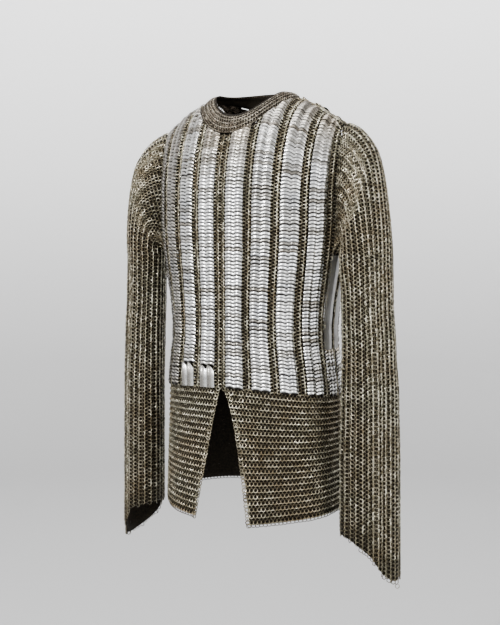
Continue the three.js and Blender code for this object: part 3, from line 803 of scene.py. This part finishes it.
def plate_places(length, foot):
    """Heights at which the plates of a column start, and how much each is stretched."""
    places = np.arange(foot, length - TOP_MARGIN, ROW_PITCH)
    stretch = np.ones(len(places) + (foot > 0))
    if foot > 0:
        places = np.concatenate([[0.0], places])
        stretch[0] = (foot + PLATE_HEIGHT - ROW_PITCH) / PLATE_HEIGHT
    return places, stretch


def plates_up(name, point_at, slope_at, foot=0.0, deep=0.0, shine=1.0):
    """A column of plates, each bent on the surface with its lobes over the plate above.

    A column with a foot ends below in one long creased plate of that height, whose tone is painted
    shade on its lobes and a painted highlight along its creases, and a deep one has a deeper groove
    towards its foot. A low shine makes the whole column duller. Faces wholly beyond the collar's cut
    are left out.
    """
    v_fine = np.linspace(0, 1, LINE_SAMPLES)
    lengths = lengths_along(slope_at(np.full_like(v_fine, 0.5), v_fine))
    places, stretch = plate_places(lengths[-1], foot)
    count, size = len(places), len(plate_corners)
    slide = dice.normal(0, PLATE_SLIDE, count)
    twist = dice.normal(0, PLATE_TWIST, count)
    lean = dice.normal(0, PLATE_LEAN, count)
    x, y, z = plate_corners.T[:, None, :]
    u = np.repeat(x, count, axis=0)
    heights = (places + slide)[:, None] + y * stretch[:, None] + twist[:, None] * (u - 0.5) * 2
    u, heights = u.ravel(), heights.ravel()
    v = np.interp(heights, lengths, v_fine)
    base, _along, out = Patch(point_at, slope_at=slope_at).spots(u, v)

    is_foot = np.repeat(stretch > 1, size)
    groove = lobe_at(u, GROOVE_ROUNDNESS)
    deepened = deep * (1 - smooth(heights / lengths[-1], DEEP_FROM, DEEP_TO))
    lobes = LOBE_HEIGHT * (1 + deepened + CREASE * is_foot)
    proud = (z + lean[:, None] * y / PLATE_HEIGHT).ravel()
    lift = PLATE_LIFT + lobes * groove + proud - deepened
    is_cut = np.linalg.norm(base - slope_at(u, v), axis=1) > TOUCH
    lift = np.where(is_cut, np.maximum(lift, LOWEST_CUT), lift)

    tone = np.repeat(dice.random(count) * shine, size)
    values = {
        # A foot's tone is painted light: shade on its lobes and a painted highlight along its creases
        # and edges; other plates take a random tone.
        "tone": np.where(is_foot, FOOT_LOBE_SHADE_TONE + FOOT_CREASE_HIGHLIGHT * (1 - groove) ** 2, tone),
        "height": np.clip(heights / lengths[-1], 0, 1),
        # clear: how far a corner stands above the top edge of the plate below, which the steel turns
        # into painted shadow; feet are kept out of it.
        "clear": np.tile(y[0] - upper_edge + ROW_PITCH, count) + FOOT_CLEAR * is_foot,
    }
    faces = (plate_faces[None] + (np.arange(count) * size)[:, None, None]).reshape(-1, 3)
    faces = faces[~is_cut[faces].all(axis=1)]
    kept, faces = np.unique(faces, return_inverse=True)
    corners = (base + out * lift[:, None])[kept]
    values = {key: data[kept] for key, data in values.items()}
    return add_mesh(name, corners, faces.reshape(-1, 3), values), count


def column_name(number, side):
    if number in COLUMNS_UNDER_ARM:
        return f"column_side_{side}_{'front' if number == COLUMNS_UNDER_ARM[0] else 'back'}"
    is_back = number > COLUMNS_TO_ARMHOLE
    count = COLUMNS_AROUND // 2 + 1 - number if is_back else number
    return f"column_{'back' if is_back else 'front'}_{side}_{count}"


LONG_FEET = {"column_front_right_1": 34.0, "column_front_right_2": 38.0}
DEEP_GROOVES = {
    "column_front_left_3": 0.9,
    "column_front_left_4": 1.1,
    "column_front_right_3": 0.6,
}
DULL_COLUMNS = {
    "column_front_right_2": 0.6,
    "column_front_right_3": 0.08,
    "column_front_right_4": 0.05,
}
SIDE_PLATE_FROM = 0.33
plates, triangles = 0, 0
for number in range(1, COLUMNS_AROUND // 2 + 1):
    is_under_arm = number in COLUMNS_UNDER_ARM
    middle = number - 0.5
    edges = (middle - COLUMN_SHARE / 2, middle + COLUMN_SHARE / 2)
    cut, uncut = (band(*edges, is_under_arm, top) for top in ("level", "open"))
    if is_under_arm:
        cut = uncut = (lambda whole: lambda u, v: whole(u, v * SIDE_PLATE_FROM))(uncut)
    for side in ("left", "right"):
        point_at, slope_at = (cut, uncut) if side == "left" else (mirrored(cut), mirrored(uncut))
        node = column_name(number, side)
        obj, count = plates_up(
            f"{node}_plates",
            point_at,
            slope_at,
            foot=LONG_FEET.get(node, 0.0),
            deep=DEEP_GROOVES.get(node, 0.0),
            shine=DULL_COLUMNS.get(node, 1.0),
        )
        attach(obj, "root")
        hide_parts(node)
        plate_pieces.append(obj)
        plates += count
        triangles += len(obj.data.polygons)
print("plates:", plates, "triangles:", triangles)

# %% [markdown]
# ## Finishes
# Iron rings are dull brown-grey, and rust has settled in patches. The parts of each ring that sink
# under its neighbours are darkened with painted shade, partly grime, so the tops stand out bright. The
# plates are polished steel that has been scratched and darkened here and there, browner on the
# shoulders and near black on their back faces, and each plate carries a painted shadow, partly grime,
# just above the edge of the plate below. Both need the same clouds of change over the shirt, so those
# are one node group, and each material gives it its own scale.

# %% A node group for patches and fine marks
NOISE_SPAN = (0.36, 0.66)


def map_range(tree, value, source=(0, 1), target=(0, 1), clamp=True):
    """Carry a number over from one range to another."""
    node = tree.nodes.new("ShaderNodeMapRange")
    node.clamp = clamp
    for name, number in zip(("From Min", "From Max", "To Min", "To Max"), (*source, *target)):
        node.inputs[name].default_value = number
    tree.links.new(value, node.inputs["Value"])
    return node.outputs["Result"]


def make_patina_group():
    group = bpy.data.node_groups.new("Patina", "ShaderNodeTree")
    for name in ("Patch Scale", "Mark Scale", "Patches", "Marks"):
        way = "INPUT" if name.endswith("Scale") else "OUTPUT"
        group.interface.new_socket(name, in_out=way, socket_type="NodeSocketFloat")
    nodes, links = group.nodes, group.links
    source = nodes.new("NodeGroupInput")
    result = nodes.new("NodeGroupOutput")
    place = nodes.new("ShaderNodeTexCoord")
    for name, names, detail in (("Patch", "Patches", 3.0), ("Mark", "Marks", 5.0)):
        noise = nodes.new("ShaderNodeTexNoise")
        noise.inputs["Detail"].default_value = detail
        noise.inputs["Roughness"].default_value = 0.6
        links.new(place.outputs["Object"], noise.inputs["Vector"])
        links.new(source.outputs[f"{name} Scale"], noise.inputs["Scale"])
        links.new(map_range(group, noise.outputs["Fac"], source=NOISE_SPAN), result.inputs[names])
    return group


patina = make_patina_group()


class Finish:
    """A material with the patina group, and helpers that mix colours and numbers."""

    def __init__(self, name, patch_scale, mark_scale):
        self.material = bpy.data.materials.new(name)
        self.material.use_nodes = True
        self.nodes = self.material.node_tree.nodes
        self.links = self.material.node_tree.links
        self.shader = self.nodes["Principled BSDF"]
        group = self.nodes.new("ShaderNodeGroup")
        group.node_tree = patina
        group.inputs["Patch Scale"].default_value = patch_scale
        group.inputs["Mark Scale"].default_value = mark_scale
        self.patches, self.marks = group.outputs["Patches"], group.outputs["Marks"]

    def attribute(self, name):
        node = self.nodes.new("ShaderNodeAttribute")
        node.attribute_name = name
        return node.outputs["Fac"]

    def ramp(self, value, stops):
        node = self.nodes.new("ShaderNodeValToRGB")
        elements = node.color_ramp.elements
        while len(elements) < len(stops):
            elements.new(0.5)
        for element, (position, color) in zip(elements, stops):
            element.position = position
            element.color = (*color, 1)
        self.links.new(value, node.inputs["Fac"])
        return node.outputs["Color"]

    def range(self, value, low, high):
        """Stretch a mask from 0 to 1 over two other numbers."""
        return map_range(self.material.node_tree, value, target=(low, high), clamp=False)

    def blend(self, factor, first, second, kind="MIX"):
        node = self.nodes.new("ShaderNodeMix")
        node.data_type = "RGBA"
        node.blend_type = kind
        self.put(factor, node.inputs[0])
        self.put(first, node.inputs[6])
        self.put(second, node.inputs[7])
        return node.outputs[2]

    def put(self, value, socket):
        if isinstance(value, bpy.types.NodeSocket):
            self.links.new(value, socket)
        else:
            socket.default_value = (*value, 1) if isinstance(value, tuple) else value

    def paint(self, name, value):
        self.put(value, self.shader.inputs[name])

    def bump(self, height, strength, distance):
        node = self.nodes.new("ShaderNodeBump")
        node.inputs["Strength"].default_value = strength
        node.inputs["Distance"].default_value = distance
        self.links.new(height, node.inputs["Height"])
        self.links.new(node.outputs["Normal"], self.shader.inputs["Normal"])


# %% Iron of the rings
def make_iron(name, dull, middle, bright, rust):
    iron = Finish(name, patch_scale=14, mark_scale=420)
    color = iron.ramp(iron.attribute("tone"), [(0.0, dull), (0.55, middle), (1.0, bright)])
    rusty = iron.blend(iron.range(iron.patches, 0.0, 0.5), color, rust)
    # Painted shade, partly grime: the parts of a ring that sink under its neighbours go dark, down to
    # near black, so the tops stand out bright.
    shade_and_grime = iron.ramp(iron.attribute("proud"), [
        (0.0, (0.02, 0.017, 0.014)), (0.45, (0.40, 0.38, 0.35)), (0.8, (1, 1, 1)),
    ])
    iron.paint("Base Color", iron.blend(1.0, rusty, shade_and_grime, "MULTIPLY"))
    iron.paint("Roughness", iron.range(iron.marks, 0.18, 0.40))
    iron.paint("Metallic", 0.95)
    return iron.material


iron = make_iron(
    "worn_iron",
    dull=(0.10, 0.09, 0.06),
    middle=(0.31, 0.29, 0.21),
    bright=(0.84, 0.80, 0.64),
    rust=(0.20, 0.14, 0.075),
)
collar_iron = make_iron(
    "collar_iron",
    dull=(0.08, 0.068, 0.052),
    middle=(0.19, 0.17, 0.132),
    bright=(0.48, 0.44, 0.36),
    rust=(0.16, 0.11, 0.07),
)

# %% Dark inside: painted shade
dark = Finish("painted_shade_inside", patch_scale=20, mark_scale=300)
# Painted shade: a near-black colour for the shells, standing for the shadow inside the shirt.
inside = dark.ramp(dark.marks, [(0.0, (0.003, 0.002, 0.001)), (1.0, (0.012, 0.009, 0.005))])
dark.paint("Base Color", inside)
dark.paint("Roughness", 0.8)
dark.paint("Specular IOR Level", 0.1)

# %% Steel of the plates
steel = Finish("worn_steel", patch_scale=11, mark_scale=260)
plate_color = steel.ramp(steel.attribute("tone"), [
    (0.0, (0.22, 0.205, 0.18)),
    (0.16, (0.52, 0.515, 0.50)),
    (0.5, (0.76, 0.77, 0.78)),
    (1.0, (0.96, 0.97, 0.98)),
])
stain = steel.ramp(steel.patches, [
    (0.0, (1, 1, 1)), (0.5, (0.92, 0.91, 0.88)), (1.0, (0.66, 0.67, 0.69)),
])
# Painted shadow, partly grime: each plate goes near black just above the top edge of the plate below
# it.
crevice_shadow = steel.ramp(steel.range(steel.attribute("clear"), 0.0, 0.2), [
    (0.0, (0.02, 0.018, 0.015)),
    (0.18, (0.05, 0.045, 0.04)),
    (0.45, (0.5, 0.5, 0.5)),
    (0.85, (1, 1, 1)),
])
shoulder = steel.ramp(steel.attribute("height"), [
    (0.0, (1, 1, 1)),
    (0.78, (1, 1, 1)),
    (0.93, (0.72, 0.66, 0.57)),
    (1.0, (0.42, 0.36, 0.28)),
])
outer = plate_color
for mask in (stain, shoulder, crevice_shadow):
    outer = steel.blend(1.0, outer, mask, "MULTIPLY")
# Back faces of the plates are coloured near black.
is_inner = steel.nodes.new("ShaderNodeNewGeometry").outputs["Backfacing"]
steel.paint("Base Color", steel.blend(is_inner, outer, (0.05, 0.04, 0.03)))
steel.paint("Roughness", steel.range(steel.marks, 0.18, 0.36))
steel.paint("Metallic", 1.0)
steel.bump(steel.marks, 0.25, 0.0006)


def finish_with(objects, material):
    for obj in objects:
        obj.data.materials.clear()
        obj.data.materials.append(material)


finish_with(mail_pieces, iron)
finish_with(collar_pieces, collar_iron)
finish_with(shells, dark.material)
finish_with(plate_pieces, steel.material)

# %% [markdown]
# ## The tall plates under the arms
# Under each arm two tall smooth plates reach from the waist to the armpit. The solid model already has
# their shape, so they stay as they are and only get darker steel, whose darkness is painted shade for
# the shadow under the arm.

# %% Steel of the tall plates
grey = Finish("shaded_grey_steel", patch_scale=18, mark_scale=180)
# Painted shade: the tall plates are a darkened grey steel, standing for the shadow under the arm;
# patches vary it.
tall_shaded_color = grey.ramp(grey.patches, [(0.0, (0.42, 0.42, 0.42)), (1.0, (0.24, 0.23, 0.22))])
grey.paint("Base Color", tall_shaded_color)
grey.paint("Roughness", grey.range(grey.marks, 0.28, 0.45))
grey.paint("Metallic", 0.9)
grey.bump(grey.marks, 0.2, 0.0005)

for name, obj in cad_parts.items():
    if name.startswith("side_plate"):
        for material_slot in obj.material_slots:
            material_slot.link = "OBJECT"
            material_slot.material = grey.material
print("finishes:", [finish.name for finish in bpy.data.materials])

# %% [markdown]
# ## Floor, light and camera
# Polished metal shows what stands round it, so large soft lights matter more here than strong ones.
# The floor bends up into a round wall whose colour is painted paler higher up and which glows a little:
# painted light, as on a lit paper backdrop. The camera stands as the photographer did, to the wearer's
# left and level with the chest.

# %% Floor and backdrop
FLOOR_Z, FLOOR_RADIUS, WALL_RADIUS, WALL_HEIGHT = -1.45, 3.4, 4.4, 3.6
CURVE_STEPS = 10
FLOOR_GREY, WALL_GREY, PALE_Z = 0.42, 1.0, 1.1
GLOW_Z, WALL_GLOW = -1.0, 0.9

bpy.ops.object.select_all(action="DESELECT")
bpy.ops.mesh.primitive_circle_add(
    vertices=64, radius=FLOOR_RADIUS, fill_type="NGON", location=(0, 0, FLOOR_Z)
)
floor = bpy.context.object
floor.name = "floor"
bpy.ops.object.mode_set(mode="EDIT")
bpy.ops.mesh.select_mode(type="EDGE")
bpy.ops.mesh.select_all(action="SELECT")
bpy.ops.mesh.region_to_loop()
for step in range(1, CURVE_STEPS + 1):
    turn = QUARTER * step / CURVE_STEPS
    before = QUARTER * (step - 1) / CURVE_STEPS
    radius = mix(FLOOR_RADIUS, WALL_RADIUS, math.sin(turn))
    last_radius = mix(FLOOR_RADIUS, WALL_RADIUS, math.sin(before))
    rise = (WALL_RADIUS - FLOOR_RADIUS) * (math.cos(before) - math.cos(turn))
    bpy.ops.mesh.extrude_region_move(TRANSFORM_OT_translate={"value": (0, 0, rise)})
    bpy.ops.transform.resize(value=(radius / last_radius, radius / last_radius, 1))
bpy.ops.mesh.extrude_region_move(TRANSFORM_OT_translate={"value": (0, 0, WALL_HEIGHT)})
bpy.ops.mesh.select_all(action="SELECT")
bpy.ops.mesh.normals_make_consistent(inside=True)
bpy.ops.object.mode_set(mode="OBJECT")
bpy.ops.object.shade_smooth()
bpy.ops.object.transform_apply()

pale = bpy.data.materials.new("pale_floor")
pale.use_nodes = True
nodes, links = pale.node_tree.nodes, pale.node_tree.links
shader = nodes["Principled BSDF"]
shader.inputs["Roughness"].default_value = 0.9
shader.inputs["Emission Color"].default_value = (1, 1, 1, 1)
place = nodes.new("ShaderNodeTexCoord")
parts = nodes.new("ShaderNodeSeparateXYZ")
links.new(place.outputs["Object"], parts.inputs["Vector"])
# Painted light: higher up, the backdrop's colour rises from grey to pale and it glows, standing for the
# light on a lit paper backdrop.
for name, heights, values in (
    ("Base Color", (FLOOR_Z, PALE_Z), (FLOOR_GREY, WALL_GREY)),
    ("Emission Strength", (GLOW_Z, PALE_Z), (0, WALL_GLOW)),
):
    grown = map_range(pale.node_tree, parts.outputs["Z"], heights, values)
    links.new(grown, shader.inputs[name])
floor.data.materials.append(pale)

world = bpy.data.worlds.new("studio")
bpy.context.scene.world = world
world.use_nodes = True
sky = world.node_tree.nodes["Background"]
sky.inputs["Color"].default_value = (0.85, 0.85, 0.86, 1)
sky.inputs["Strength"].default_value = 1.3

# %% Lights
SHIRT_MIDDLE = (0, 0, -0.35)


def soft_light(name, location, size, power):
    light = bpy.data.lights.new(name, "AREA")
    light.shape = "RECTANGLE"
    light.size, light.size_y = size
    light.energy = power
    obj = bpy.data.objects.new(name, light)
    bpy.context.collection.objects.link(obj)
    obj.location = location
    aim = Vector(SHIRT_MIDDLE) - Vector(location)
    obj.rotation_euler = aim.to_track_quat("-Z", "Y").to_euler()


soft_light("key", (-0.7, -2.3, 1.3), (0.5, 0.6), 125)
soft_light("side", (2.7, -0.7, 0.4), (0.5, 1.8), 45)
soft_light("top", (-0.5, 0.6, 2.2), (1.6, 1.6), 60)
print("lights:", len(bpy.data.lights))

# %% Camera
CAMERA_TURN, CAMERA_AWAY, CAMERA_Z = math.radians(30), 1.8, -0.217
FOCAL_PIXELS, FRAME_WIDTH, FRAME_HEIGHT = 1030, 500, 625
AXIS_X, HORIZON_Y = 254.5, 225.0
SENSOR = 36

camera_data = bpy.data.cameras.new("camera")
camera = bpy.data.objects.new("camera", camera_data)
bpy.context.collection.objects.link(camera)
camera.location = (
    CAMERA_AWAY * math.sin(CAMERA_TURN), -CAMERA_AWAY * math.cos(CAMERA_TURN), CAMERA_Z
)
camera.rotation_euler = (QUARTER, 0, CAMERA_TURN)
camera_data.sensor_fit = "VERTICAL"
camera_data.sensor_height = SENSOR
camera_data.lens = SENSOR * FOCAL_PIXELS / FRAME_HEIGHT
camera_data.shift_x = (FRAME_WIDTH / 2 - AXIS_X) / FRAME_HEIGHT
camera_data.shift_y = (HORIZON_Y - FRAME_HEIGHT / 2) / FRAME_HEIGHT
bpy.context.scene.camera = camera
print("camera at", [round(c, 3) for c in camera.location])

# %% Measure and finish
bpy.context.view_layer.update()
dressed = mail_pieces + collar_pieces + shells + plate_pieces
counts = [sum(len(face.vertices) - 2 for face in obj.data.polygons) for obj in dressed]
print("triangles in all:", sum(counts), "and in the largest piece:", max(counts))
